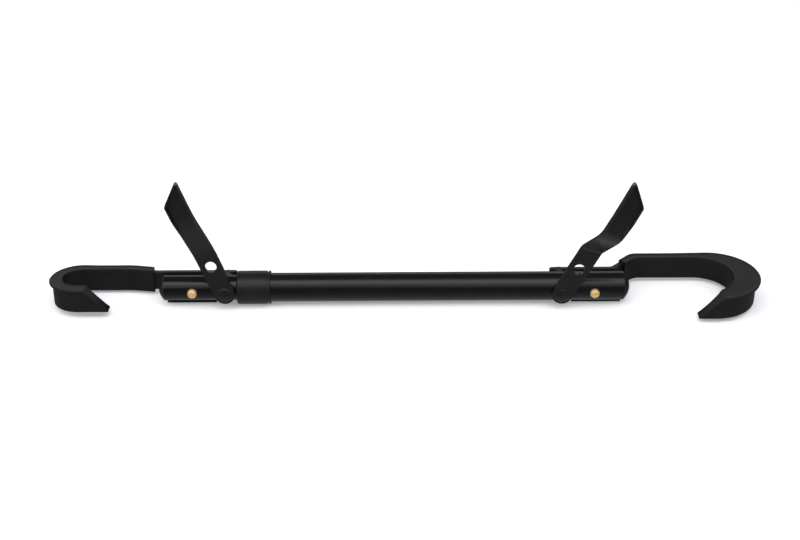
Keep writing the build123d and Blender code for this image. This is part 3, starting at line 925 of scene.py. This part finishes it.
def button_profile(tip, seat):
    """Radius and Y of the head's outline, from its dimple to its flange's underside."""
    profile = [(radius, tip + depth) for radius, depth in DIMPLE] + [(DIMPLE_RADIUS, tip)]
    reach = BUTTON_RADIUS - DIMPLE_RADIUS
    for i in range(1, DOME_TURNS + 1):
        out = math.sin(math.pi / 2 * i / DOME_TURNS)
        drop = BUTTON_DOME * (1 - math.sqrt(max(0.0, 1 - out * out)))
        profile.append((DIMPLE_RADIUS + reach * out, tip + drop))
    under = seat + LEAF_THICK
    shoulder = FLANGE_RADIUS - FLANGE_EDGE
    profile += [(BUTTON_RADIUS, seat), (shoulder, seat), (FLANGE_RADIUS, seat + FLANGE_EDGE)]
    return profile + [(FLANGE_RADIUS, under - FLANGE_EDGE), (shoulder, under), (MIDDLE, under)]


def leaf_path(place, pad, far):
    """Middle line of the folded leaf in plan, its corners rounded and its straight runs divided."""
    fold = place + LEAF_REACH
    corners = [(place - LEAF_PAD, pad), (place + LEAF_PAD, pad), (fold, far - LEAF_RISE), (fold, far),
               (place - LEAF_TAIL, far)]
    points = [corners[0]]
    for before, corner, after in zip(corners, corners[1:], corners[2:]):
        a = between(corner, before, LEAF_BEND / math.dist(corner, before))
        b = between(corner, after, LEAF_BEND / math.dist(corner, after))
        points += [rounded_corner(a, corner, b, i / BEND_POINTS) for i in range(BEND_POINTS + 1)]
    points.append(corners[-1])
    full = []
    for a, b in zip(points, points[1:]):
        steps = max(1, round(math.dist(a, b) / LEAF_PITCH))
        full += [between(a, b, i / steps) for i in range(steps)]
    return full + [points[-1]]


def leaf_rings(path):
    rings = []
    for i, (x, y) in enumerate(path):
        a, b = path[max(0, i - 1)], path[min(len(path) - 1, i + 1)]
        half = LEAF_THICK / 2 / math.dist(a, b)
        nx, ny = -(b[1] - a[1]) * half, (b[0] - a[0]) * half
        rings.append([(x + nx * face, y + ny * face, LEAF_HALF * up) for up, face in LEAF_SECTION])
    return rings


def snap_button(snap):
    name = f"{snap.name}_spring_button"
    inside = snap.tube_radius - snap.tube_wall
    tip = -snap.tube_radius - BUTTON_HEIGHT
    seat = -math.sqrt(inside**2 - FLANGE_RADIUS**2) + FLANGE_GAP
    pad = seat + LEAF_THICK / 2
    far = math.sqrt(inside**2 - LEAF_HALF**2) - LEAF_GAP - LEAF_THICK / 2
    mesh = bmesh.new()
    profile = button_profile(tip, seat)
    add_rings(mesh, [circle(r, TURNS, lambda c, s, y=y: (snap.place + c, y, s)) for r, y in profile])
    add_rings(mesh, leaf_rings(leaf_path(snap.place, pad, far)))
    data = placed_data(mesh, name, end_place(snap.side, snap.turn))
    dress(data, "brass")
    data.set_sharp_from_angle(angle=math.radians(SHARP_ANGLE))
    piece = link_object(name, data)
    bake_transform(piece)
    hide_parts(f"{snap.name}_snap_button")


for snap in SNAPS:
    snap_button(snap)


# ---------------------------------------------------------------- end plugs


@dataclass
class Plug:
    """One tube end's plug. The tube's end is measured outward along the bar."""

    name: str
    side: int
    turn: float
    tube_end: float
    tube_radius: float
    tube_wall: float
    dome: float


PLUGS = (
    Plug(
        name="right", side=1, turn=0.0, tube_end=165.2, tube_radius=MAIN_RADIUS, tube_wall=MAIN_WALL,
        dome=5.3,
    ),
    Plug(
        name="left", side=-1, turn=LEFT_TURN, tube_end=231.6, tube_radius=INNER_RADIUS, tube_wall=INNER_WALL,
        dome=4.7,
    ),
)

PLUG_RIM = 0.3
PLUG_STEP = 0.4             # the head is this much smaller than the tube
PLUG_SPIGOT = 9.0
PLUG_SPIGOT_WALL = 1.8
PLUG_FIT = 0.05
PLUG_MIDDLE = 0.3           # radius of the small face that closes the spigot's bore
DOME_STEPS = 14


def plug_profile(plug):
    """Distance along the bar and radius, from the dome's middle round to the spigot's bore."""
    head = plug.tube_radius - PLUG_STEP
    rim = plug.tube_end + PLUG_RIM
    sphere = (head**2 + plug.dome**2) / (2 * plug.dome)
    profile = []
    for i in range(1, DOME_STEPS + 1):
        r = head * i / DOME_STEPS
        profile.append((rim + plug.dome - sphere + math.sqrt(sphere**2 - r**2), r))
    spigot = plug.tube_radius - plug.tube_wall - PLUG_FIT
    bore = spigot - PLUG_SPIGOT_WALL
    foot = plug.tube_end - PLUG_SPIGOT
    profile += [(plug.tube_end, head), (plug.tube_end, spigot), (foot, spigot), (foot, bore)]
    return profile + [(plug.tube_end, bore), (plug.tube_end, PLUG_MIDDLE)]


def end_cap(plug):
    name = f"{plug.name}_end_cap"
    mesh = bmesh.new()
    add_rings(mesh, [circle(r, TURNS, lambda c, s, u=u: (u, c, s)) for u, r in plug_profile(plug)])
    data = placed_data(mesh, name, end_place(plug.side, plug.turn))
    dress(data, "plug_plastic")
    data.set_sharp_from_angle(angle=math.radians(SHARP_ANGLE))
    return link_object(name, data)


for plug in PLUGS:
    cap = end_cap(plug)
    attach(cap, nodes[f"{plug.name}_end_plug"]["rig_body"])
    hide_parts(f"{plug.name}_end_plug")
